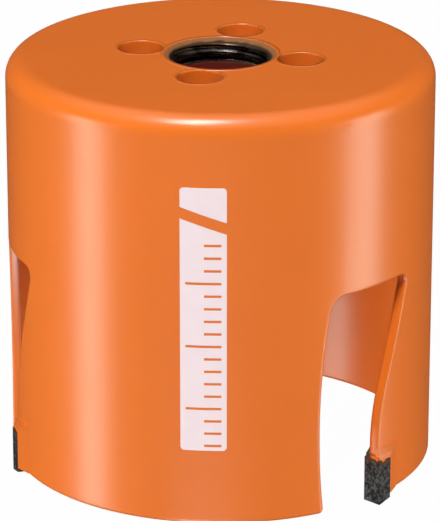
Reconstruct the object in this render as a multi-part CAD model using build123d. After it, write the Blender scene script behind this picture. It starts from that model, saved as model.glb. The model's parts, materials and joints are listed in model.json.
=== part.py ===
from build123d import *
from math import cos, hypot, radians, sqrt, tan
import os

# Carbide-tipped hole saw: a one-piece steel cup with three cutting tips brazed into its rim.
#
# Millimetres and degrees. +Z is the turning axis and points to the arbor. z = 0 is the plane
# that the tips stand on. Angles about Z count from -Y towards +X, which is against the cutting
# turn, so "behind" a tooth is a larger angle. Each tooth is modelled at angle 0, where +X is
# behind and -Y is outwards, and is then turned to its place.

# Cup
cutting_diameter = 68.0        # circle that the tips' outer corners cut
side_clearance = 0.8           # the tips stand this far out of the cup's outside
wall = 1.5
inner_depth = 60.4             # from the rim to the inside of the base
base_thickness = 4.0
shoulder_radius = 3.2          # outside, where the wall turns into the base
inner_corner_bevel = 0.8       # weld between the wall and the base, inside
edge_break = 0.2               # bevel on the outside edges of the rim and the gullets
rim_corner_radius = 0.7        # where the rim meets the front edge of a gullet

# Arbor thread, 5/8 in - 18, cut through the middle of the base
thread_major_diameter = 15.875
thread_lead_in = 0.55          # 45 degree chamfer at the top of the thread
thread_lead_out = 0.25         # the same at its lower end

# Holes for the arbor's drive pins
pin_hole_count = 4
pin_circle_diameter = 25.4
pin_hole_diameter = 7.0
first_pin_angle = -14.2

# Teeth: carbide tips in seats at the rim, each behind its gullet
tooth_count = 3
first_tooth_angle = 46.4       # the wall's own edge above the first tip
tip_width = 3.2                # radially: the kerf
tip_thickness = 2.6            # front to back
tip_height = 7.7
tip_drop = 1.2                 # the tips reach this far below the rim
tip_overhang = 0.15            # the tip's front stands this far ahead of the wall's edge
tip_side_relief = 3.0
tip_end_relief = 11.0
tip_top_bevel = 0.45

# Braze that holds a tip in its seat and ramps from the wall up to the tip's sides
braze_gap = 0.1
braze_ramp_back = 2.4          # length of the ramp behind the tip
braze_ramp_top = 1.3           # height of the ramp above the tip
braze_shortfall = 0.15         # the ramp ends this far below the tip's sides

# Gullet: outline on the cup's outside. Heights are above the rim, and distances are along the
# outside from the wall's edge above the tip.
gullet_height = 34.8
gullet_width = 11.2            # from the tooth to the front edge, where the gullet is widest
front_edge_radius = 110.0      # the front edge is a long arc
front_edge_middle = 13.0       # height at which that arc is furthest from the tooth
back_reach = 7.6               # how far the roof runs back behind the tooth
flank_foot = 13.4              # height at which the leaning flank would meet the tooth's line
flank_radius = 29.0            # blend between the flank and the tooth's line
front_corner_radius = 3.0
back_corner_radius = 1.5

# Worked out from the sizes above
cutting_radius = cutting_diameter / 2
outer_radius = cutting_radius - side_clearance
inner_radius = outer_radius - wall
thread_radius = thread_major_diameter / 2
rim_z = tip_drop
base_z = rim_z + inner_depth
top_z = base_z + base_thickness
tip_top_z = tip_height
seat_top_z = tip_top_z + braze_gap
tip_front_x = -tip_overhang
tip_back_x = tip_front_x + tip_thickness
seat_back_x = tip_back_x + braze_gap
pitch_angle = 360 / tooth_count
cut_margin = 1.0               # cutting tools reach this far past what they cut


def nearest(vertices, x, y):
    """The vertex of a flat outline that lies nearest to a point."""
    return vertices.sort_by_distance((x, y, 0))[0]


def at_tooth(number, shape):
    """A shape modelled at angle 0, turned to the place of a tooth."""
    return Rot(0, 0, first_tooth_angle + number * pitch_angle) * shape


def cup_section():
    """Half section of the cup on the X-Y plane, with X as radius and Y as height."""
    corners = [
        (inner_radius, rim_z),
        (outer_radius, rim_z),
        (outer_radius, top_z),
        (thread_radius, top_z),
        (thread_radius, base_z),
        (inner_radius, base_z),
    ]
    section = make_face(Polyline(*corners, close=True))
    section = fillet(nearest(section.vertices(), outer_radius, top_z), shoulder_radius)
    section = chamfer(nearest(section.vertices(), inner_radius, base_z), inner_corner_bevel)
    section = chamfer(nearest(section.vertices(), thread_radius, top_z), thread_lead_in)
    return chamfer(nearest(section.vertices(), thread_radius, base_z), thread_lead_out)


def pin_holes():
    """The drive pins' holes, as tools that run through the base."""
    hole = Cylinder(pin_hole_diameter / 2, base_thickness + 2 * cut_margin)
    places = PolarLocations(pin_circle_diameter / 2, pin_hole_count, first_pin_angle - 90)
    return [Pos(0, 0, (base_z + top_z) / 2) * place * hole for place in places]


def gullet_outline(distance):
    """The gullet's outline on a flat plane at a distance from the axis, seen from outside.

    A length along the cup's outside is the same angle about the axis at any distance.
    """

    def flat_x(length):
        return distance * tan(length / outer_radius)

    def front_edge(z):
        rise = z - rim_z - front_edge_middle
        return -gullet_width + front_edge_radius - sqrt(front_edge_radius**2 - rise**2)

    low_z = rim_z - cut_margin
    roof_z = rim_z + gullet_height
    middle_z = (low_z + roof_z) / 2
    front_low = (flat_x(front_edge(low_z)), low_z)
    front_middle = (flat_x(front_edge(middle_z)), middle_z)
    front_high = (flat_x(front_edge(roof_z)), roof_z)
    back_high = (flat_x(back_reach), roof_z)
    foot = (0, rim_z + flank_foot)
    back_low = (0, low_z)
    edges = ThreePointArc(front_low, front_middle, front_high)
    edges += Polyline(front_high, back_high, foot, back_low, front_low)
    outline = make_face(edges)
    outline = fillet(nearest(outline.vertices(), *front_high), front_corner_radius)
    outline = fillet(nearest(outline.vertices(), *back_high), back_corner_radius)
    return fillet(nearest(outline.vertices(), *foot), flank_radius)


def gullet():
    """Tool that cuts one gullet. Its outline narrows towards the axis, so each face of the cut
    lies along a radius."""
    outside = outer_radius + cut_margin
    inside = inner_radius * cos(gullet_width / outer_radius) - cut_margin
    outline = gullet_outline(outside)
    narrowed = scale(outline, by=(inside / outside, 1, 1))
    faces = [
        Plane((0, -distance, 0), x_dir=(1, 0, 0), z_dir=(0, -1, 0)) * face
        for distance, face in ((inside, narrowed), (outside, outline))
    ]
    return loft(faces, ruled=True)


def tip_seat():
    """Tool that cuts the notch that a tip and its braze sit in."""
    width = seat_back_x + cut_margin
    height = seat_top_z - rim_z + cut_margin
    depth = wall + 2 * cut_margin
    block = Box(width, depth, height, align=(Align.MAX, Align.CENTER, Align.MAX))
    return Pos(seat_back_x, -(inner_radius + outer_radius) / 2, seat_top_z) * block


def is_round_z(edge, radius):
    """Whether an edge lies on a cylinder about Z."""
    middle = edge.position_at(0.5)
    ends = [edge.position_at(0), edge.position_at(1)]
    return all(abs(hypot(p.X, p.Y) - radius) < 0.01 for p in [middle] + ends)


def cup_body():
    """The drawn steel cup: wall, base, threaded hole, pin holes, gullets and tip seats."""
    cup = revolve(Plane.XZ * cup_section(), Axis.Z)
    cup -= pin_holes()
    for number in range(tooth_count):
        cup -= at_tooth(number, gullet())
    rim_edges = cup.faces().sort_by(Axis.Z)[:tooth_count].edges()
    cup = fillet([e for e in rim_edges if e.length < 2 * wall], rim_corner_radius)
    outline_edges = cup.edges().filter_by(GeomType.BSPLINE)
    cup = chamfer([e for e in outline_edges if is_round_z(e, outer_radius)], edge_break)
    for number in range(tooth_count):
        cup -= at_tooth(number, tip_seat())
    return cup


def carbide_tip():
    """One cutting tip at angle 0, with relief on both sides and below its front edge."""
    narrowing = tip_thickness * tan(radians(tip_side_relief))
    tip_inner_radius = cutting_radius - tip_width
    plan = make_face(
        Polyline(
            (tip_front_x, -cutting_radius),
            (tip_back_x, -cutting_radius + narrowing),
            (tip_back_x, -tip_inner_radius - narrowing),
            (tip_front_x, -tip_inner_radius),
            close=True,
        )
    )
    tip = extrude(plan, tip_height)
    top_edges = tip.faces().sort_by(Axis.Z)[-1].edges()
    side_edges = [top_edges.sort_by(Axis.Y)[0], top_edges.sort_by(Axis.Y)[-1]]
    tip = chamfer(side_edges, tip_top_bevel)
    lift = tip_thickness * tan(radians(tip_end_relief))
    relief = make_face(
        Polyline((tip_front_x, 0), (tip_back_x, lift), (tip_back_x, 0), close=True)
    )
    return tip - extrude(Plane.XZ * relief, 2 * cutting_radius, both=True)


def braze_seam(cup, tip):
    """Filler round one tip: a film in its seat, and ramps up to the tip on both sides."""
    outer_y = -cutting_radius + braze_shortfall
    inner_y = -cutting_radius + tip_width - braze_shortfall
    ramp_end_x = seat_back_x + braze_ramp_back
    ramp_top_z = seat_top_z + braze_ramp_top
    plan = make_face(
        Polyline(
            (0, outer_y),
            (seat_back_x, outer_y),
            (ramp_end_x, -sqrt(outer_radius**2 - ramp_end_x**2)),
            (ramp_end_x, -sqrt(inner_radius**2 - ramp_end_x**2)),
            (seat_back_x, inner_y),
            (0, inner_y),
            close=True,
        )
    )
    profile = make_face(
        Polyline(
            (outer_y, rim_z),
            (outer_y, seat_top_z),
            (-outer_radius, ramp_top_z),
            (-inner_radius, ramp_top_z),
            (inner_y, seat_top_z),
            (inner_y, rim_z),
            close=True,
        )
    )
    bead = extrude(plan, ramp_top_z) & extrude(Plane.YZ * profile, ramp_end_x)
    return bead - tip - cup


def main():
    os.makedirs("parts", exist_ok=True)
    cup = cup_body()
    export_step(cup, "parts/cup_body.step")
    tip = carbide_tip()
    unturned_cup = Rot(0, 0, -first_tooth_angle) * cup
    seam = braze_seam(unturned_cup, tip)
    for number in range(tooth_count):
        export_step(at_tooth(number, tip), f"parts/carbide_tip_{number + 1}.step")
        export_step(at_tooth(number, seam), f"parts/braze_seam_{number + 1}.step")


if __name__ == "__main__":
    main()
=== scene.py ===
import json
from math import atan2, cos, pi, radians, sin, tau

import bmesh
import bpy
from bpy.props import FloatProperty, FloatVectorProperty, IntProperty, PointerProperty
from mathutils import Matrix, Vector


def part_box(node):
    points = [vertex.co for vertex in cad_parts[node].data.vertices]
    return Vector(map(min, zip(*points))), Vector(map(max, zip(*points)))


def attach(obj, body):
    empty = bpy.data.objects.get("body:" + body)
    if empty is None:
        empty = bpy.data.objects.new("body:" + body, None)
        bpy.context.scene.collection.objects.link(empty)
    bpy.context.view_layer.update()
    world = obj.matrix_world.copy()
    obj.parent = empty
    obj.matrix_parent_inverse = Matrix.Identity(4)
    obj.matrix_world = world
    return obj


bl_info = {
    "name": "Hole Saw Finish",
    "version": (1, 0, 0),
    "blender": (4, 5, 0),
    "location": "3D View > Sidebar > Hole Saw",
    "description": "Enamel, carbide, thread ridges and print for a carbide-tipped hole saw",
    "category": "Object",
}

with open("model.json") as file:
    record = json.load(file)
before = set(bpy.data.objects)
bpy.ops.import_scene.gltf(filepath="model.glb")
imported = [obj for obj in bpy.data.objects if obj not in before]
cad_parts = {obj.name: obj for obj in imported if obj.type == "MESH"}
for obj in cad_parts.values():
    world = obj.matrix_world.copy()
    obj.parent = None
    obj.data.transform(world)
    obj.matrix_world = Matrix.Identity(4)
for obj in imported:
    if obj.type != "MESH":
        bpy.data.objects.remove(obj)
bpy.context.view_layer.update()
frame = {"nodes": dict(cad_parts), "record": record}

# Lengths are in metres. Angles are counted from the front towards +X.

MM = 0.001
SLOT_OF = {part["node"]: part["material_slot"] for part in frame["record"]["subparts"]}
MOUNTS = {mount["name"]: mount for mount in frame["record"]["mounts"]}

CUP_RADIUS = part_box("cup_body")[1][0]
CUP_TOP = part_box("cup_body")[1][2]
CUP_WALL = 1.5 * MM

THREAD_MOUNT = MOUNTS["arbor_thread"]
THREAD_RADIUS = THREAD_MOUNT["dims"]["r_mm"] * MM
THREAD_LENGTH = THREAD_MOUNT["dims"]["length_mm"] * MM
THREAD_MIDDLE = THREAD_MOUNT["pos_m"][2]
THREAD_CHAMFER = 0.55 * MM
HOLE_EDGE_RADIUS = THREAD_RADIUS + THREAD_CHAMFER

PIN_HOLES = MOUNTS["drive_pin_holes"]["dims"]
PIN_CIRCLE_RADIUS = PIN_HOLES["pcd_mm"] / 2 * MM
PIN_HOLE_RADIUS = PIN_HOLES["hole_r_mm"] * MM
FIRST_PIN_ANGLE = radians(-14.2)
PIN_SPACING = tau / 4


# Settings


class HoleSawColours(bpy.types.PropertyGroup):
    """Colours of the saw's finishes."""

    enamel: FloatVectorProperty(
        name="Enamel",
        description="Colour of the enamel on the cup",
        subtype="COLOR",
        size=3,
        min=0,
        max=1,
        default=(0.80, 0.170, 0.018),
    )
    carbide: FloatVectorProperty(
        name="Carbide",
        description="Lighter grey of the mottled tips",
        subtype="COLOR",
        size=3,
        min=0,
        max=1,
        default=(0.088, 0.082, 0.084),
    )
    steel: FloatVectorProperty(
        name="Thread steel",
        description="Colour of the oiled steel in the thread",
        subtype="COLOR",
        size=3,
        min=0,
        max=1,
        default=(0.046, 0.044, 0.042),
    )
    print_white: FloatVectorProperty(
        name="Print",
        description="Colour of the printed field",
        subtype="COLOR",
        size=3,
        min=0,
        max=1,
        default=(0.90, 0.74, 0.78),
    )


class HoleSawThread(bpy.types.PropertyGroup):
    """Sizes of the thread's ridges."""

    pitch: FloatProperty(
        name="Pitch",
        description="Distance from one turn to the next",
        unit="LENGTH",
        default=25.4 / 18 * MM,
    )
    middle_crest: FloatProperty(
        name="Middle crest",
        description="Height at which the middle turn's crest passes the back of the hole",
        unit="LENGTH",
        default=63.50 * MM,
    )
    turns: IntProperty(
        name="Turns",
        description="Number of turns, of which the outer two are cut to the hole's length",
        min=1,
        default=5,
    )
    steps: IntProperty(
        name="Steps",
        description="Facets in one turn of a ridge",
        min=12,
        default=96,
    )


class HoleSawPrint(bpy.types.PropertyGroup):
    """Sizes of the printed field and of the plain depth scale in it."""

    left: FloatProperty(
        name="Left edge",
        description="Angle of the field's left edge, from the front",
        subtype="ANGLE",
        default=radians(-10.45),
    )
    column: FloatProperty(
        name="Column",
        description="Width of the columns that the field is divided into",
        unit="LENGTH",
        default=0.2 * MM,
    )
    columns: IntProperty(
        name="Columns",
        description="Number of columns across the field",
        default=35,
    )
    low: FloatProperty(
        name="Lower end",
        description="Height of the field's lower end",
        unit="LENGTH",
        default=13.2 * MM,
    )
    high: FloatProperty(
        name="Upper end",
        description="Height of the field's upper end",
        unit="LENGTH",
        default=55.0 * MM,
    )
    corner: FloatProperty(
        name="Corner",
        description="Radius of the field's corners",
        unit="LENGTH",
        default=0.6 * MM,
    )
    gap_height: FloatProperty(
        name="Gap height",
        description="Height of the middle of the slanted gap across the field",
        unit="LENGTH",
        default=49.85 * MM,
    )
    gap_width: FloatProperty(
        name="Gap width",
        description="Width of the slanted gap",
        unit="LENGTH",
        default=1.7 * MM,
    )
    gap_slant: FloatProperty(
        name="Gap slant",
        description="Angle at which the gap falls to the right",
        subtype="ANGLE",
        default=radians(18.9),
    )
    scale_top: FloatProperty(
        name="Scale top",
        description="Height below which the depth scale's marks lie",
        unit="LENGTH",
        default=46.6 * MM,
    )
    mark_step: FloatProperty(
        name="Mark step",
        description="Distance between the marks of the depth scale",
        unit="LENGTH",
        default=2.0 * MM,
    )
    mark_width: FloatProperty(
        name="Mark width",
        description="Thickness of a mark",
        unit="LENGTH",
        default=0.4 * MM,
    )
    short_mark: IntProperty(
        name="Short mark",
        description="Columns that a short mark is long",
        default=13,
    )
    margin: IntProperty(
        name="Margin",
        description="Columns between a long mark's ends and the field's edges",
        default=4,
    )


class HoleSawStage(bpy.types.PropertyGroup):
    """Strengths of the lamps and the world. 1 is white."""

    room: FloatProperty(
        name="Room light",
        description="Plain light from all sides",
        default=0.04,
    )
    key: FloatProperty(
        name="Key light",
        description="Light that the key lamp gives a surface that faces it",
        default=1.04,
    )
    left_strip: FloatProperty(
        name="Left strip",
        description="Brightness of the tall lamp on the left",
        default=7.9,
    )
    right_strip: FloatProperty(
        name="Right strip",
        description="Brightness of the tall lamp on the right",
        default=6.2,
    )
    back: FloatProperty(
        name="Back light",
        description="Light that the low lamp behind gives a surface that faces it",
        default=0.55,
    )
    under: FloatProperty(
        name="Under light",
        description="Brightness of the small lamp below the cup's open end",
        default=2.2,
    )
    overhead: FloatProperty(
        name="Overhead",
        description="Brightness of the softbox above the saw, seen in the gloss only",
        default=40.0,
    )
    card: FloatProperty(
        name="Low card",
        description="Brightness of the card below the front, seen in the gloss only",
        default=14.0,
    )
    lens: FloatProperty(
        name="Lens",
        description="Focal length of the camera",
        subtype="DISTANCE_CAMERA",
        default=255.68,
    )


# Node helpers


def set_inputs(tree, node, inputs):
    """Links each input that is given a socket, and sets the others."""
    for name, value in inputs.items():
        if isinstance(value, bpy.types.NodeSocket):
            tree.links.new(value, node.inputs[name])
        else:
            node.inputs[name].default_value = value


def add_node(tree, kind, inputs=None, **settings):
    """Adds a shader node with its settings and inputs."""
    node = tree.nodes.new(kind)
    for name, value in settings.items():
        setattr(node, name, value)
    set_inputs(tree, node, inputs or {})
    return node


def calc(tree, operation, *values):
    """A Math node's output."""
    return add_node(tree, "ShaderNodeMath", dict(enumerate(values)), operation=operation).outputs[0]


def vector_calc(tree, operation, *values):
    """A Vector Math node's outputs, Vector and Value."""
    inputs = dict(enumerate(values))
    return add_node(tree, "ShaderNodeVectorMath", inputs, operation=operation).outputs


def noise(tree, point, scale, detail=2.0, roughness=0.5):
    """A Noise node's factor at a point."""
    inputs = {"Vector": point, "Scale": scale, "Detail": detail, "Roughness": roughness}
    return add_node(tree, "ShaderNodeTexNoise", inputs).outputs["Fac"]


def ramp(tree, value, low, high, to_low=0.0, to_high=1.0):
    """A value mapped smoothly from one range to another, and held at its ends."""
    inputs = {"Value": value, 1: low, 2: high, 3: to_low, 4: to_high}
    return add_node(tree, "ShaderNodeMapRange", inputs, interpolation_type="SMOOTHSTEP").outputs[0]


def mix_value(tree, factor, first, second):
    """Two values mixed by a factor."""
    return add_node(tree, "ShaderNodeMix", {0: factor, 2: first, 3: second}).outputs[0]


def mix_vector(tree, factor, first, second):
    """Two vectors mixed by a factor."""
    inputs = {0: factor, 4: first, 5: second}
    return add_node(tree, "ShaderNodeMix", inputs, data_type="VECTOR").outputs[1]


def mix_colour(tree, factor, first, second):
    """Two colours mixed by a factor."""
    inputs = {0: factor, 6: first, 7: second}
    return add_node(tree, "ShaderNodeMix", inputs, data_type="RGBA").outputs[2]


def mix_shader(tree, factor, first, second):
    """Two shaders mixed by a factor."""
    return add_node(tree, "ShaderNodeMixShader", {0: factor, 1: first, 2: second}).outputs[0]


def brighten(tree, colour, factor):
    """A colour with its brightness multiplied."""
    inputs = {"Value": factor, "Color": colour}
    return add_node(tree, "ShaderNodeHueSaturation", inputs).outputs["Color"]


def bump(tree, height, distance, strength=1.0, normal=None):
    """The surface's normal, or a given one, tilted by a height."""
    inputs = {"Strength": strength, "Distance": distance, "Height": height}
    if normal is not None:
        inputs["Normal"] = normal
    return add_node(tree, "ShaderNodeBump", inputs).outputs["Normal"]


def rgba(colour):
    """A setting's colour as a socket takes it."""
    return (*colour, 1.0)


def object_point(tree):
    """The shaded point in the object's own coordinates."""
    return add_node(tree, "ShaderNodeTexCoord").outputs["Object"]


def point_height(tree, point):
    """Height of a point."""
    return add_node(tree, "ShaderNodeSeparateXYZ", {0: point}).outputs["Z"]


def axis_to_point(tree, point):
    """The level vector from the saw's axis to a point."""
    return vector_calc(tree, "MULTIPLY", point, (1, 1, 0))["Vector"]


def axis_distance(tree, point):
    """Distance of a point from the saw's axis."""
    return vector_calc(tree, "LENGTH", axis_to_point(tree, point))["Value"]


def ragged_edge(tree, point, scale, reach, detail=2.0):
    """A noisy distance, up to a reach either way, that frays the edge of a finish."""
    return ramp(tree, noise(tree, point, scale, detail), 0.3, 0.7, -reach, reach)


def start_material(name):
    """A node material, its tree and its Principled shader."""
    material = bpy.data.materials.new(name)
    material.use_nodes = True
    tree = material.node_tree
    return material, tree, tree.nodes["Principled BSDF"]


def new_group(name, inputs, outputs):
    """A shader node group, the sockets that it is given, and its output node."""
    tree = bpy.data.node_groups.new(name, "ShaderNodeTree")
    for direction, sockets in (("INPUT", inputs), ("OUTPUT", outputs)):
        for label, kind in sockets:
            tree.interface.new_socket(label, in_out=direction, socket_type=kind)
    return tree, tree.nodes.new("NodeGroupInput").outputs, tree.nodes.new("NodeGroupOutput")


def place_group(tree, group, inputs):
    """The outputs of a node group placed in a material."""
    return add_node(tree, "ShaderNodeGroup", inputs, node_tree=group).outputs


# Shared effects

PEEL_HEIGHT = 0.012 * MM
OIL_STAIN = (0.020, 0.015, 0.009, 1.0)


def enamel_coat_group():
    """Sprayed enamel: faint clouds of colour, fine orange peel, and lumps of what lies below."""
    name = "enamel_coat"
    if name in bpy.data.node_groups:
        return bpy.data.node_groups[name]
    tree, given, result = new_group(
        name,
        [
            ("Colour", "NodeSocketColor"),
            ("Lumps", "NodeSocketFloat"),
            ("Normal", "NodeSocketVector"),
        ],
        [
            ("Colour", "NodeSocketColor"),
            ("Roughness", "NodeSocketFloat"),
            ("Normal", "NodeSocketVector"),
        ],
    )
    point = object_point(tree)
    clouds = ramp(tree, noise(tree, point, 75.0, detail=3.0), 0.2, 0.8, 0.985, 1.015)
    roughness = ramp(tree, noise(tree, point, 240.0), 0.2, 0.8, 0.278, 0.298)
    lumps = noise(tree, point, 520.0)
    peel = noise(tree, point, 1300.0, detail=1.0)
    height = calc(tree, "MULTIPLY_ADD", lumps, given["Lumps"], peel)
    outputs = {
        "Colour": brighten(tree, given["Colour"], clouds),
        "Roughness": roughness,
        "Normal": bump(tree, height, PEEL_HEIGHT, 0.35, given["Normal"]),
    }
    set_inputs(tree, result, outputs)
    return tree


def oiled_steel_group():
    """Machined steel under a film of oil: dark stains, and patches of more and less gloss."""
    name = "oiled_steel"
    if name in bpy.data.node_groups:
        return bpy.data.node_groups[name]
    tree, given, result = new_group(
        name,
        [("Colour", "NodeSocketColor")],
        [("Colour", "NodeSocketColor"), ("Roughness", "NodeSocketFloat")],
    )
    point = object_point(tree)
    stain = ramp(tree, noise(tree, point, 420.0, detail=3.0), 0.42, 0.62)
    outputs = {
        "Colour": mix_colour(tree, stain, given["Colour"], OIL_STAIN),
        "Roughness": ramp(tree, noise(tree, point, 900.0), 0.3, 0.7, 0.18, 0.30),
    }
    set_inputs(tree, result, outputs)
    return tree


# Enamel on the cup and the braze

ENAMEL_IOR = 1.5
CUP_LUMPS = 0.4
BRAZE_LUMPS = 4.0

# The enamel's rounding at the cup's edges, from the gullets up to the shoulder.
LOW_ROUNDING = 0.70 * MM
HIGH_ROUNDING = 0.40 * MM
ROUNDING_CHANGE = (42.0 * MM, 50.0 * MM)
ROUNDING_SAMPLES = 8

# Beads of enamel round the holes. The rises are shares of the bead height.
BEAD_HEIGHT = 0.28 * MM
PIN_BEAD_WIDTH, PIN_BEAD_RISE = 0.60 * MM, 0.5
THREAD_BEAD_WIDTH, THREAD_BEAD_RISE = 0.90 * MM, 1.0

# Painted shade: a darker red on the cup's inner face, from partway up to just under the base, where
# little light reaches.
INSIDE_SHADE_COLOUR = (0.34, 0.035, 0.006, 1.0)
INSIDE_SHADE_RADIUS = (CUP_RADIUS - 1.3 * MM, CUP_RADIUS - 1.0 * MM)
INSIDE_SHADE_START = (28.0 * MM, 48.0 * MM)
INSIDE_SHADE_END = (CUP_TOP - 3.9 * MM, CUP_TOP - 3.7 * MM)

# Overspray and bare steel on the thread's chamfer.
OVERSPRAY = (0.30, 0.112, 0.032, 1.0)
OVERSPRAY_RADIUS = (HOLE_EDGE_RADIUS - 0.05 * MM, HOLE_EDGE_RADIUS + 0.25 * MM)
CHAMFER_STEEL = (0.150, 0.075, 0.018, 1.0)
BARE_RADIUS = (HOLE_EDGE_RADIUS - 0.62 * MM, HOLE_EDGE_RADIUS - 0.34 * MM)
CHAMFER_ROUGHNESS = 0.9

# The braze. On its outer side the shading leans towards the wall's, more above than below.
FLOW_LEAN = (0.55, 0.8)
FLOW_HEIGHT = (7.7 * MM, 8.3 * MM)
FLOW_SHARE = (0.65, 0.96)
BARE_BRAZE = (0.035, 0.028, 0.015, 1.0)
BARE_BRAZE_RADIUS = (CUP_RADIUS - CUP_WALL - 0.1 * MM, CUP_RADIUS - CUP_WALL + 0.1 * MM)
BARE_BRAZE_ROUGHNESS = 0.55


def pin_hole_distance(tree, point, radius):
    """Distance to the middle of the nearest pin hole."""
    place = add_node(tree, "ShaderNodeSeparateXYZ", {0: point}).outputs
    angle = calc(tree, "ARCTAN2", place["X"], calc(tree, "MULTIPLY", place["Y"], -1.0))
    low = FIRST_PIN_ANGLE - PIN_SPACING / 2
    wrapped = calc(tree, "WRAP", angle, low + PIN_SPACING, low)
    turned = calc(tree, "SUBTRACT", wrapped, FIRST_PIN_ANGLE)
    along = calc(tree, "MULTIPLY", radius, calc(tree, "COSINE", turned))
    aside = calc(tree, "MULTIPLY", radius, calc(tree, "SINE", turned))
    short = calc(tree, "SUBTRACT", along, PIN_CIRCLE_RADIUS)
    squares = calc(tree, "ADD", calc(tree, "POWER", short, 2.0), calc(tree, "POWER", aside, 2.0))
    return calc(tree, "SQRT", squares)


def bead(tree, distance, inner_radius, width, rise):
    """Height of a ring-shaped bead that starts at a radius: its rise in the middle, 0 outside."""
    off = calc(tree, "ABSOLUTE", calc(tree, "SUBTRACT", distance, inner_radius + width / 2))
    return ramp(tree, off, 0.0, width / 2, rise, 0.0)


def beaded_normal(tree, point, radius, height):
    """The cup's normal, rounded at the edges and raised in beads round the holes."""
    rounding = ramp(tree, height, *ROUNDING_CHANGE, LOW_ROUNDING, HIGH_ROUNDING)
    rounded = add_node(
        tree, "ShaderNodeBevel", {"Radius": rounding}, samples=ROUNDING_SAMPLES
    ).outputs["Normal"]
    from_pin = pin_hole_distance(tree, point, radius)
    pin_bead = bead(tree, from_pin, PIN_HOLE_RADIUS, PIN_BEAD_WIDTH, PIN_BEAD_RISE)
    thread_bead = bead(tree, radius, HOLE_EDGE_RADIUS, THREAD_BEAD_WIDTH, THREAD_BEAD_RISE)
    beads = calc(tree, "MAXIMUM", pin_bead, thread_bead)
    return bump(tree, beads, BEAD_HEIGHT, normal=rounded)


def cup_enamel_material(colours):
    """Enamel on the cup. It beads at the holes, carries painted shade high on its inner face, and
    fades out on the thread's chamfer."""
    material, tree, shader = start_material("cup_enamel")
    point = object_point(tree)
    radius = axis_distance(tree, point)
    height = point_height(tree, point)
    # Painted shade: the inner face turns darker red from partway up to just under the base.
    inside = ramp(tree, radius, *INSIDE_SHADE_RADIUS, 1.0, 0.0)
    below_base = ramp(tree, height, *INSIDE_SHADE_END, 1.0, 0.0)
    shade_height = calc(tree, "MULTIPLY", ramp(tree, height, *INSIDE_SHADE_START), below_base)
    painted_shade = calc(tree, "MULTIPLY", inside, shade_height)
    coat = place_group(
        tree,
        enamel_coat_group(),
        {
            "Colour": mix_colour(tree, painted_shade, rgba(colours.enamel), INSIDE_SHADE_COLOUR),
            "Lumps": CUP_LUMPS,
            "Normal": beaded_normal(tree, point, radius, height),
        },
    )
    steel = place_group(tree, oiled_steel_group(), {"Colour": CHAMFER_STEEL})
    level = calc(tree, "ADD", radius, ragged_edge(tree, point, 700.0, 0.12 * MM))
    dusted = ramp(tree, level, *OVERSPRAY_RADIUS, 1.0, 0.0)
    bare = ramp(tree, level, *BARE_RADIUS, 1.0, 0.0)
    sprayed = mix_colour(tree, dusted, coat["Colour"], OVERSPRAY)
    finish = {
        "Base Color": mix_colour(tree, bare, sprayed, steel["Colour"]),
        "Roughness": mix_value(tree, dusted, coat["Roughness"], CHAMFER_ROUGHNESS),
        "Normal": coat["Normal"],
        "IOR": ENAMEL_IOR,
    }
    set_inputs(tree, shader, finish)
    return material


def braze_enamel_material(colours):
    """The same enamel over the lumpy filler, which flows out to the wall. The filler's inner
    side is scorched bare."""
    material, tree, shader = start_material("braze_enamel")
    point = object_point(tree)
    facing = add_node(tree, "ShaderNodeNewGeometry").outputs["Normal"]
    outwards = add_node(
        tree,
        "ShaderNodeVectorTransform",
        {0: axis_to_point(tree, point)},
        vector_type="NORMAL",
        convert_from="OBJECT",
        convert_to="WORLD",
    ).outputs[0]
    lean = vector_calc(tree, "DOT_PRODUCT", facing, outwards)["Value"]
    high = ramp(tree, point_height(tree, point), *FLOW_HEIGHT, *FLOW_SHARE)
    flow = calc(tree, "MULTIPLY", ramp(tree, lean, *FLOW_LEAN), high)
    flowed = mix_vector(tree, flow, facing, outwards)
    coat = place_group(
        tree,
        enamel_coat_group(),
        {
            "Colour": rgba(colours.enamel),
            "Lumps": BRAZE_LUMPS,
            "Normal": vector_calc(tree, "NORMALIZE", flowed)["Vector"],
        },
    )
    ragged = ragged_edge(tree, point, 700.0, 0.3 * MM)
    level = calc(tree, "ADD", axis_distance(tree, point), ragged)
    bare = ramp(tree, level, *BARE_BRAZE_RADIUS, 1.0, 0.0)
    finish = {
        "Base Color": mix_colour(tree, bare, coat["Colour"], BARE_BRAZE),
        "Roughness": mix_value(tree, bare, coat["Roughness"], BARE_BRAZE_ROUGHNESS),
        "Normal": coat["Normal"],
        "IOR": ENAMEL_IOR,
    }
    set_inputs(tree, shader, finish)
    return material


# Carbide, thread steel and print

CARBIDE_PIT = (0.003, 0.002, 0.003, 1.0)
CARBIDE_ROUGHNESS = (0.62, 0.48)
CARBIDE_SPECULAR = 0.15
GRIT_HEIGHT = 0.03 * MM
FLUX_BROWN = (0.085, 0.030, 0.012, 1.0)
FLUX_HEIGHT = (5.9 * MM, 7.1 * MM)
TIP_ENAMEL_HEIGHT = (7.35 * MM, 7.55 * MM)
TIP_ENAMEL_RADIUS = (CUP_RADIUS - CUP_WALL, CUP_RADIUS - 0.7 * MM)

THREAD_TOP_BROWN = (0.055, 0.023, 0.004, 1.0)
THREAD_TOP_HEIGHT = (CUP_TOP - 1.0 * MM, CUP_TOP - 0.6 * MM)
THREAD_TOP_ROUGHNESS = 0.8
THREAD_SPECULAR = 0.2


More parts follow.
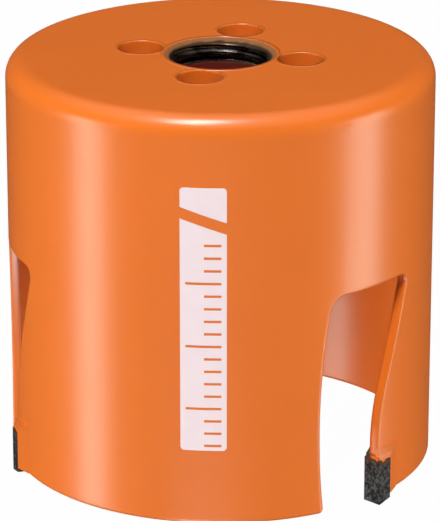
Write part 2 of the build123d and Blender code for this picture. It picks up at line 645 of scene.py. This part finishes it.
def carbide_material(colours):
    """Ground carbide: mottled dark grey, with enamel and scorched flux on its upper end."""
    material, tree, shader = start_material("ground_carbide")
    point = object_point(tree)
    mottle = ramp(tree, noise(tree, point, 1700.0, detail=5.0, roughness=0.65), 0.40, 0.66)
    body = mix_colour(tree, mottle, CARBIDE_PIT, rgba(colours.carbide))
    ragged = ragged_edge(tree, point, 800.0, 0.5 * MM, detail=3.0)
    level = calc(tree, "ADD", point_height(tree, point), ragged)
    scorched = mix_colour(tree, ramp(tree, level, *FLUX_HEIGHT), body, FLUX_BROWN)
    outside = ramp(tree, axis_distance(tree, point), *TIP_ENAMEL_RADIUS)
    enamelled = calc(tree, "MULTIPLY", ramp(tree, level, *TIP_ENAMEL_HEIGHT), outside)
    grit = noise(tree, point, 2500.0)
    finish = {
        "Base Color": mix_colour(tree, enamelled, scorched, rgba(colours.enamel)),
        "Roughness": ramp(tree, mottle, 0.0, 1.0, *CARBIDE_ROUGHNESS),
        "Specular IOR Level": CARBIDE_SPECULAR,
        "Normal": bump(tree, grit, GRIT_HEIGHT, 0.5),
    }
    set_inputs(tree, shader, finish)
    return material


def thread_steel_material(colours):
    """Oiled steel on the ridges, brown and dull where the thread meets its chamfer."""
    material, tree, shader = start_material("thread_steel")
    point = object_point(tree)
    steel = place_group(tree, oiled_steel_group(), {"Colour": rgba(colours.steel)})
    top = ramp(tree, point_height(tree, point), *THREAD_TOP_HEIGHT)
    finish = {
        "Base Color": mix_colour(tree, top, steel["Colour"], THREAD_TOP_BROWN),
        "Roughness": mix_value(tree, top, steel["Roughness"], THREAD_TOP_ROUGHNESS),
        "Metallic": mix_value(tree, top, 1.0, 0.0),
        "Specular IOR Level": THREAD_SPECULAR,
    }
    set_inputs(tree, shader, finish)
    return material


def print_material(colours):
    """Flat white ink with slightly uneven cover."""
    material, tree, shader = start_material("print_ink")
    point = object_point(tree)
    cover = ramp(tree, noise(tree, point, 300.0, detail=3.0), 0.25, 0.75, 0.97, 1.0)
    finish = {
        "Base Color": brighten(tree, rgba(colours.print_white), cover),
        "Roughness": ramp(tree, noise(tree, point, 1500.0), 0.3, 0.7, 0.42, 0.52),
    }
    set_inputs(tree, shader, finish)
    return material


# Pieces

THREAD_DEPTH = 0.5413  # of the pitch, as on any 60 degree thread
CREST_BEVEL = 0.07 * MM
SMOOTH_BELOW = radians(40)
OVERLAP = 0.02 * MM  # ridges and print reach this far into the cup
PRINT_RISE = 0.02 * MM


def paint_nodes(slot, material):
    """Gives a material to every solid of one slot."""
    for name, node in frame["nodes"].items():
        if SLOT_OF[name] == slot:
            node.data.materials.clear()
            node.data.materials.append(material)


def finish_piece(mesh, name, material):
    """Turns a bmesh into a piece that rides on the saw."""
    bmesh.ops.recalc_face_normals(mesh, faces=mesh.faces[:])
    data = bpy.data.meshes.new(name)
    mesh.to_mesh(data)
    mesh.free()
    data.materials.append(material)
    piece = bpy.data.objects.new(name, data)
    bpy.context.scene.collection.objects.link(piece)
    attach(piece, "root")
    return piece


def cut(mesh, point, normal, clear=True):
    """Cuts a mesh along a plane, clears what lies beyond it, and returns the cut's edges."""
    everything = mesh.verts[:] + mesh.edges[:] + mesh.faces[:]
    result = bmesh.ops.bisect_plane(
        mesh, geom=everything, plane_co=point, plane_no=normal, clear_outer=clear
    )
    return [item for item in result["geom_cut"] if isinstance(item, bmesh.types.BMEdge)]


def around(angle, vector):
    """A vector at the front, turned about the saw's axis."""
    return Matrix.Rotation(angle, 3, "Z") @ Vector(vector)


class HOLESAW_OT_enamel_cup(bpy.types.Operator):
    """Give the cup its enamel"""

    bl_idname = "holesaw.enamel_cup"
    bl_label = "Enamel the Cup"

    def execute(self, context):
        paint_nodes("paint", cup_enamel_material(context.scene.holesaw_colours))
        return {"FINISHED"}


class HOLESAW_OT_finish_teeth(bpy.types.Operator):
    """Give the tips their carbide and the braze its enamel"""

    bl_idname = "holesaw.finish_teeth"
    bl_label = "Finish the Teeth"

    def execute(self, context):
        colours = context.scene.holesaw_colours
        paint_nodes("carbide", carbide_material(colours))
        paint_nodes("painted_braze", braze_enamel_material(colours))
        return {"FINISHED"}


def spin_ridge(settings):
    """The thread's ridge as one helix. It starts at the back of the hole and climbs to the
    left, seen from the front."""
    pitch = settings.pitch
    root = THREAD_RADIUS + OVERLAP
    crest = THREAD_RADIUS - THREAD_DEPTH * pitch
    # The crest's flat is a quarter of the pitch wide, and the groove's an eighth.
    crest_half = pitch / 8
    root_half = pitch * 7 / 16
    start = settings.middle_crest - pitch * (settings.turns // 2)
    mesh = bmesh.new()
    corners = [(root, -root_half), (crest, -crest_half), (crest, crest_half), (root, root_half)]
    verts = [mesh.verts.new((0, radius, start + rise)) for radius, rise in corners]
    mesh.faces.new(verts)
    crest_corners = verts[1:3]
    bmesh.ops.bevel(
        mesh,
        geom=crest_corners,
        offset=CREST_BEVEL,
        segments=2,
        profile=0.5,
        affect="VERTICES",
        material=-1,
    )
    bmesh.ops.spin(
        mesh,
        geom=mesh.verts[:] + mesh.edges[:] + mesh.faces[:],
        cent=(0, 0, 0),
        axis=(0, 0, 1),
        dvec=(0, 0, pitch / settings.steps),
        angle=settings.turns * tau,
        steps=settings.turns * settings.steps,
    )
    return mesh


def fit_ridge_to_hole(mesh):
    """Cuts the ridge to the hole's length, and bevels it at 45 degrees at both ends."""
    low = THREAD_MIDDLE - THREAD_LENGTH / 2
    high = THREAD_MIDDLE + THREAD_LENGTH / 2
    for height, side in ((high, 1), (low, -1)):
        edges = cut(mesh, (0, 0, height), (0, 0, side))
        bmesh.ops.holes_fill(mesh, edges=edges, sides=0)
    for vert in mesh.verts:
        radius = vert.co.xy.length
        depth = min(high - vert.co.z, vert.co.z - low)
        growth = max(radius, THREAD_RADIUS - depth) / radius
        vert.co.x *= growth
        vert.co.y *= growth


class HOLESAW_OT_cut_thread(bpy.types.Operator):
    """Model the ridges of the thread in the middle hole"""

    bl_idname = "holesaw.cut_thread"
    bl_label = "Cut the Thread"

    def execute(self, context):
        mesh = spin_ridge(context.scene.holesaw_thread)
        fit_ridge_to_hole(mesh)
        for face in mesh.faces:
            face.smooth = True
        material = thread_steel_material(context.scene.holesaw_colours)
        piece = finish_piece(mesh, "thread_ridges", material)
        piece.data.set_sharp_from_angle(angle=SMOOTH_BELOW)
        return {"FINISHED"}


def scale_marks(settings):
    """Heights of the depth scale's marks, and the columns that each is long. Each fifth mark is
    a long one."""
    long_mark = settings.columns - 2 * settings.margin
    marks = []
    index = int(settings.low / settings.mark_step) + 1
    while index * settings.mark_step < settings.scale_top:
        length = settings.short_mark if index % 5 else long_mark
        marks.append((index * settings.mark_step, length))
        index += 1
    return marks


def spin_field(settings, marks):
    """The field as a sheet just inside the cup's face, divided into columns and at the marks."""
    half = settings.mark_width / 2
    heights = {settings.low, settings.high}
    heights.update(height + side * half for height, _ in marks for side in (-1, 1))
    mesh = bmesh.new()
    column = [
        mesh.verts.new(around(settings.left, (0, OVERLAP - CUP_RADIUS, height)))
        for height in sorted(heights)
    ]
    for pair in zip(column, column[1:]):
        mesh.edges.new(pair)
    bmesh.ops.spin(
        mesh,
        geom=mesh.verts[:] + mesh.edges[:],
        cent=(0, 0, 0),
        axis=(0, 0, 1),
        angle=settings.columns * settings.column / CUP_RADIUS,
        steps=settings.columns,
    )
    return mesh


def open_marks(mesh, settings, marks, right):
    """Takes the marks out of the field, counted in columns from its right edge."""
    half = settings.mark_width / 2
    windows = []
    for face in mesh.faces:
        middle = face.calc_center_median()
        from_right = (right - atan2(middle.x, -middle.y)) * CUP_RADIUS / settings.column
        place = from_right - settings.margin
        if any(abs(middle.z - height) < half and 0 < place < length for height, length in marks):
            windows.append(face)
    bmesh.ops.delete(mesh, geom=windows, context="FACES")


def open_gap(mesh, settings, right):
    """Takes the slanted gap out of the field."""
    angle = (settings.left + right) / 2
    middle = around(angle, (0, OVERLAP - CUP_RADIUS, settings.gap_height))
    across = around(angle, (sin(settings.gap_slant), 0, cos(settings.gap_slant)))
    half = settings.gap_width / 2
    for side in (-1, 1):
        cut(mesh, middle + across * side * half, across, clear=False)
    in_gap = [
        face for face in mesh.faces if abs((face.calc_center_median() - middle).dot(across)) < half
    ]
    bmesh.ops.delete(mesh, geom=in_gap, context="FACES")


def round_corners(mesh, settings, right):
    """Rounds the field's four corners with four cuts each."""
    radius = settings.corner
    inset = radius / CUP_RADIUS
    for side, angle in ((-1, settings.left + inset), (1, right - inset)):
        across = around(angle, (side, 0, 0))
        for end, height in ((-1, settings.low + radius), (1, settings.high - radius)):
            centre = around(angle, (0, -CUP_RADIUS, height))
            for share in (1 / 8, 3 / 8, 5 / 8, 7 / 8):
                lean = share * pi / 2
                normal = across * cos(lean) + Vector((0, 0, end * sin(lean)))
                cut(mesh, centre + normal * radius, normal)


class HOLESAW_OT_print_field(bpy.types.Operator):
    """Print the white field with its plain depth scale"""

    bl_idname = "holesaw.print_field"
    bl_label = "Print the Field"

    def execute(self, context):
        settings = context.scene.holesaw_print
        right = settings.left + settings.columns * settings.column / CUP_RADIUS
        marks = scale_marks(settings)
        mesh = spin_field(settings, marks)
        open_marks(mesh, settings, marks, right)
        open_gap(mesh, settings, right)
        round_corners(mesh, settings, right)
        raised = bmesh.ops.extrude_face_region(mesh, geom=mesh.faces[:], use_keep_orig=True)
        outer = [item for item in raised["geom"] if isinstance(item, bmesh.types.BMVert)]
        growth = (CUP_RADIUS + PRINT_RISE) / (CUP_RADIUS - OVERLAP)
        bmesh.ops.scale(mesh, verts=outer, vec=(growth, growth, 1))
        ink = print_material(context.scene.holesaw_colours)
        finish_piece(mesh, "print_field", ink)
        return {"FINISHED"}


# Stage

WHITE = (1, 1, 1, 1)
FLOOR_GREY = (0.50, 0.50, 0.50, 1.0)
FLOOR_HALF_SIDE = 3.0
WHITE_SHARE = 0.985  # of what the camera sees of the floor, too much for a shadow to show

# The gloss sees dim walls, and a ceiling that starts 32 degrees up and is white at 60.
CEILING_CLIMB = (sin(radians(32)), sin(radians(60)))
WALL_GLOSS, CEILING_GLOSS = 0.05, 1.0

CAMERA_ASIDE = -0.07 * MM
CAMERA_PLACE = (CAMERA_ASIDE, -546.2 * MM, 232.07 * MM)
CAMERA_TARGET = (CAMERA_ASIDE, 0, 31.55 * MM)

CUP_MIDDLE = (0, 0, 0.5 * CUP_TOP)
STRIP_LENGTH = 1.06
STRIP_MIDDLE = -0.25
STRIP_TINT = (0.95, 1.0, 0.90)


def on_circle(angle, radius, height):
    """A point at an angle and a distance from the saw's axis."""
    return (radius * sin(angle), -radius * cos(angle), height)


def aim(thing, place, target):
    """Puts a lamp or camera at a place and points it at a target."""
    thing.location = place
    thing.rotation_euler = (Vector(target) - Vector(place)).to_track_quat("-Z", "Y").to_euler()


def add_lamp(name, place, target, size, brightness, in_gloss=True, on_surfaces=True):
    """An area lamp of an even brightness, where 1 is white."""
    data = bpy.data.lights.new(name, "AREA")
    data.shape = "RECTANGLE"
    data.size, data.size_y = size
    data.energy = brightness * pi * data.size * data.size_y
    lamp = bpy.data.objects.new(name, data)
    bpy.context.scene.collection.objects.link(lamp)
    aim(lamp, place, target)
    lamp.visible_camera = False
    lamp.visible_glossy = in_gloss
    lamp.visible_diffuse = on_surfaces
    return lamp


def add_fill(name, place, size, light):
    """A lamp that gives the cup a light, where 1 is white, and doesn't show in the gloss."""
    distance = (Vector(place) - Vector(CUP_MIDDLE)).length
    brightness = light * pi * distance**2 / (size[0] * size[1])
    return add_lamp(name, place, CUP_MIDDLE, size, brightness, in_gloss=False)


def add_strip(name, angle, width, brightness):
    """A tall soft strip beside the saw."""
    place = on_circle(angle, 1.0, STRIP_MIDDLE)
    strip = add_lamp(name, place, (0, 0, STRIP_MIDDLE), (width, STRIP_LENGTH), brightness)
    strip.data.color = STRIP_TINT


def light_saw(settings):
    """The key lamp, the two strips, the lamps behind and below, and what only the gloss sees."""
    add_fill(
        "key_lamp", place=on_circle(radians(-10), 0.70, 1.24), size=(0.35, 0.35), light=settings.key
    )
    add_strip("left_strip", radians(-73), width=0.29, brightness=settings.left_strip)
    add_strip("right_strip", radians(81), width=0.38, brightness=settings.right_strip)
    add_fill(
        "back_lamp", place=on_circle(pi, 1.0, CUP_MIDDLE[2]), size=(0.9, 0.3), light=settings.back
    )
    add_lamp(
        "under_lamp",
        place=(0, 0, -0.03),
        target=(0, 0, 0),
        size=(0.05, 0.05),
        brightness=settings.under,
        in_gloss=False,
    )
    add_lamp(
        "overhead",
        place=(-0.15, -0.24, 1.2),
        target=(0, 0, CUP_TOP),
        size=(0.22, 0.5),
        brightness=settings.overhead,
        on_surfaces=False,
    )
    add_lamp(
        "low_card",
        place=(-0.080, -0.447, -0.506),
        target=(-CUP_RADIUS, 0, 0.03),
        size=(0.28, 0.34),
        brightness=settings.card,
        on_surfaces=False,
    )


def floor_material():
    """Pale floor that is white to the camera, without a visible shadow, and clear from below."""
    material, tree, shader = start_material("floor_paper")
    paper = {"Base Color": FLOOR_GREY, "Roughness": 0.9, "Specular IOR Level": 0.0}
    set_inputs(tree, shader, paper)
    white = add_node(tree, "ShaderNodeEmission", {"Color": WHITE, "Strength": 1.0}).outputs[0]
    clear = add_node(tree, "ShaderNodeBsdfTransparent").outputs[0]
    in_camera = add_node(tree, "ShaderNodeLightPath").outputs["Is Camera Ray"]
    below = add_node(tree, "ShaderNodeNewGeometry").outputs["Backfacing"]
    share = calc(tree, "MULTIPLY", in_camera, WHITE_SHARE)
    above = mix_shader(tree, share, shader.outputs[0], white)
    set_inputs(
        tree, tree.nodes["Material Output"], {"Surface": mix_shader(tree, below, above, clear)}
    )
    return material


def build_floor():
    """The floor that the saw stands on."""
    mesh = bmesh.new()
    bmesh.ops.create_grid(mesh, x_segments=1, y_segments=1, size=FLOOR_HALF_SIDE)
    data = bpy.data.meshes.new("floor")
    mesh.to_mesh(data)
    mesh.free()
    data.materials.append(floor_material())
    floor = bpy.data.objects.new("floor", data)
    bpy.context.scene.collection.objects.link(floor)
    floor.visible_glossy = False
    floor.visible_shadow = False


def build_world(room):
    """White to the camera, a dim studio in the enamel's gloss, and plain light on surfaces."""
    world = bpy.data.worlds.new("studio")
    bpy.context.scene.world = world
    world.use_nodes = True
    world.cycles.sampling_method = "NONE"
    tree = world.node_tree
    plain = tree.nodes["Background"]
    set_inputs(tree, plain, {"Color": WHITE, "Strength": room})
    direction = add_node(tree, "ShaderNodeTexCoord").outputs["Generated"]
    climb = point_height(tree, direction)
    studio = ramp(tree, climb, *CEILING_CLIMB, WALL_GLOSS, CEILING_GLOSS)
    dim = add_node(tree, "ShaderNodeBackground", {"Color": WHITE, "Strength": studio})
    white = add_node(tree, "ShaderNodeBackground", {"Color": WHITE, "Strength": 1.0})
    path = add_node(tree, "ShaderNodeLightPath").outputs
    lit = mix_shader(tree, path["Is Glossy Ray"], plain.outputs[0], dim.outputs[0])
    seen = calc(tree, "MAXIMUM", path["Is Camera Ray"], path["Is Transmission Ray"])
    shown = mix_shader(tree, seen, lit, white.outputs[0])
    set_inputs(tree, tree.nodes["World Output"], {"Surface": shown})


def add_camera(lens):
    """The scene's camera."""
    data = bpy.data.cameras.new("camera")
    data.lens = lens
    data.sensor_width = 36.0
    data.clip_end = 20.0
    camera = bpy.data.objects.new("camera", data)
    bpy.context.scene.collection.objects.link(camera)
    aim(camera, CAMERA_PLACE, CAMERA_TARGET)
    bpy.context.scene.camera = camera


class HOLESAW_OT_set_stage(bpy.types.Operator):
    """Set up the camera, the floor and the studio light"""

    bl_idname = "holesaw.set_stage"
    bl_label = "Set the Stage"

    def execute(self, context):
        settings = context.scene.holesaw_stage
        context.scene.view_settings.view_transform = "Standard"
        add_camera(settings.lens)
        build_floor()
        build_world(settings.room)
        light_saw(settings)
        return {"FINISHED"}


# Panel and registration


class HOLESAW_PT_panel(bpy.types.Panel):
    """Lists the saw's steps and settings"""

    bl_label = "Hole Saw"
    bl_space_type = "VIEW_3D"
    bl_region_type = "UI"
    bl_category = "Hole Saw"

    def draw(self, context):
        layout = self.layout
        for operator in OPERATORS:
            layout.operator(operator.bl_idname)
        for group, name in SETTINGS.items():
            settings = getattr(context.scene, name)
            box = layout.box()
            box.label(text=group.__doc__)
            for setting in group.__annotations__:
                box.prop(settings, setting)


SETTINGS = {
    HoleSawColours: "holesaw_colours",
    HoleSawThread: "holesaw_thread",
    HoleSawPrint: "holesaw_print",
    HoleSawStage: "holesaw_stage",
}
OPERATORS = (
    HOLESAW_OT_enamel_cup,
    HOLESAW_OT_finish_teeth,
    HOLESAW_OT_cut_thread,
    HOLESAW_OT_print_field,
    HOLESAW_OT_set_stage,
)


def register():
    """Registers the settings, the operators and the panel."""
    for group, name in SETTINGS.items():
        bpy.utils.register_class(group)
        setattr(bpy.types.Scene, name, PointerProperty(type=group))
    for operator in OPERATORS:
        bpy.utils.register_class(operator)
    bpy.utils.register_class(HOLESAW_PT_panel)


def unregister():
    """Takes away what register added."""
    bpy.utils.unregister_class(HOLESAW_PT_panel)
    for operator in reversed(OPERATORS):
        bpy.utils.unregister_class(operator)
    for group, name in reversed(SETTINGS.items()):
        delattr(bpy.types.Scene, name)
        bpy.utils.unregister_class(group)


def main():
    """Finishes the saw and sets the stage."""
    register()
    bpy.ops.holesaw.enamel_cup()
    bpy.ops.holesaw.finish_teeth()
    bpy.ops.holesaw.cut_thread()
    bpy.ops.holesaw.print_field()
    bpy.ops.holesaw.set_stage()


if __name__ == "__main__":
    main()
